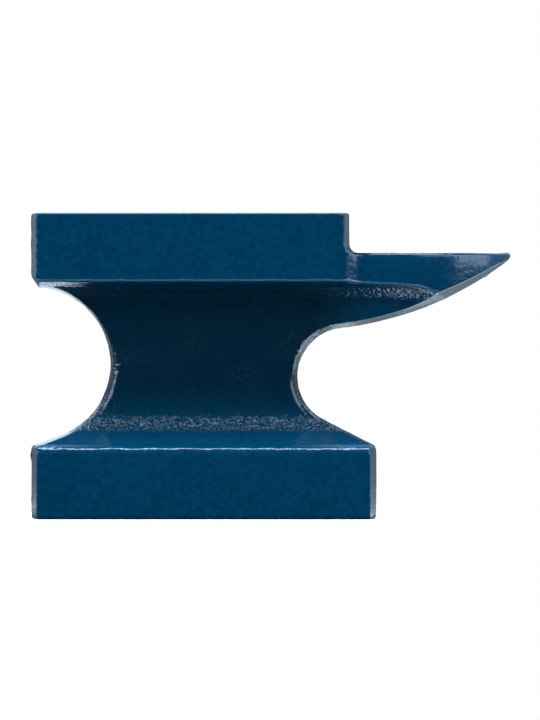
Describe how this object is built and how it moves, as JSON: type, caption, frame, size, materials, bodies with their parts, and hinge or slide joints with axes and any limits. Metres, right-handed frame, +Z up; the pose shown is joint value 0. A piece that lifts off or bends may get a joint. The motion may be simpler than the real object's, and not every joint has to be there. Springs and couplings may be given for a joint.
{
  "type": "single horn anvil",
  "caption": "Small bench anvil with a flat working face, a narrow coved waist, a broad base and one flat-topped horn that curves in to a blunt tip.",
  "frame": {"origin": "centre of the base's flat underside", "axes": "+X along the anvil towards the horn's tip, +Y across its width, +Z up"},
  "size_m": [0.2106, 0.0762, 0.1344],
  "materials": {
    "enamel": "glossy petrol-blue enamel over a sand-cast iron skin",
    "ground_steel": "bare hardened steel, surface ground along its length"
  },
  "bodies": {
    "root": {"body_casting": "enamel", "face_plate": "ground_steel"}
  },
  "joints": []
}
